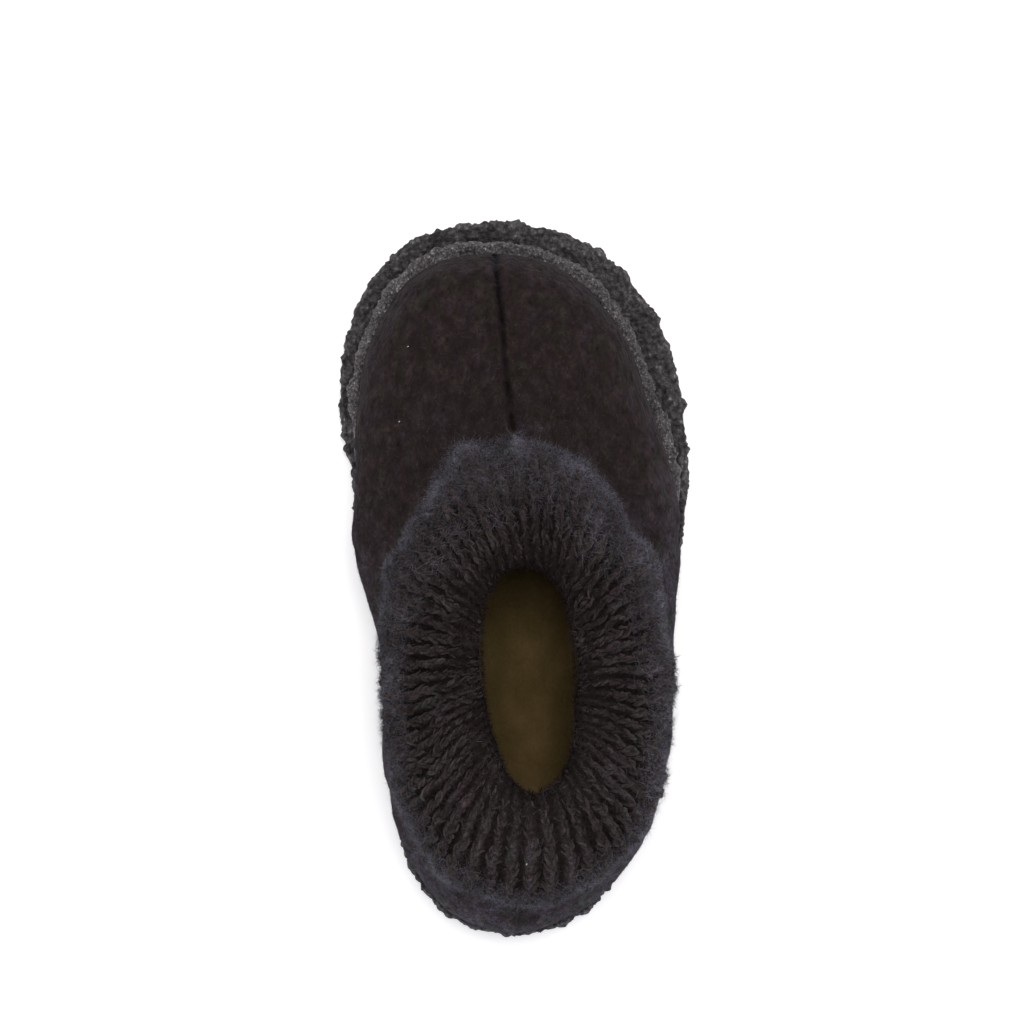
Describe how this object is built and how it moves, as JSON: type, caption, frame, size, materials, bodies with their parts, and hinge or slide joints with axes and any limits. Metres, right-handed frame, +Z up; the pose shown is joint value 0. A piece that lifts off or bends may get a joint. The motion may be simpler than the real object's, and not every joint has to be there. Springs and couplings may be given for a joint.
{
  "type": "slipper",
  "caption": "Low child's house slipper of boiled felt: a ribbed knitted cuff draws in to an oval mouth, over a felt insole and a crepe rubber sole with a raised crepe rim.",
  "frame": {"origin": "on the floor, under the middle of the slipper's overall box", "axes": "+Y from heel to toe, +X to the outer side of the right foot, +Z up"},
  "size_m": [0.0784, 0.1598, 0.0654],
  "materials": {
    "crepe": "coarse crumb, matt",
    "rand_crepe": "fine crumb, matt with small bright specks",
    "insole_felt": "soft pressed felt",
    "felt": "boiled wool, napped",
    "knit": "ribbed wool knit, fuzzy"
  },
  "bodies": {
    "root": {"outsole": "crepe", "rand": "rand_crepe", "insole": "insole_felt", "upper": "felt", "cuff": "knit"}
  },
  "joints": []
}
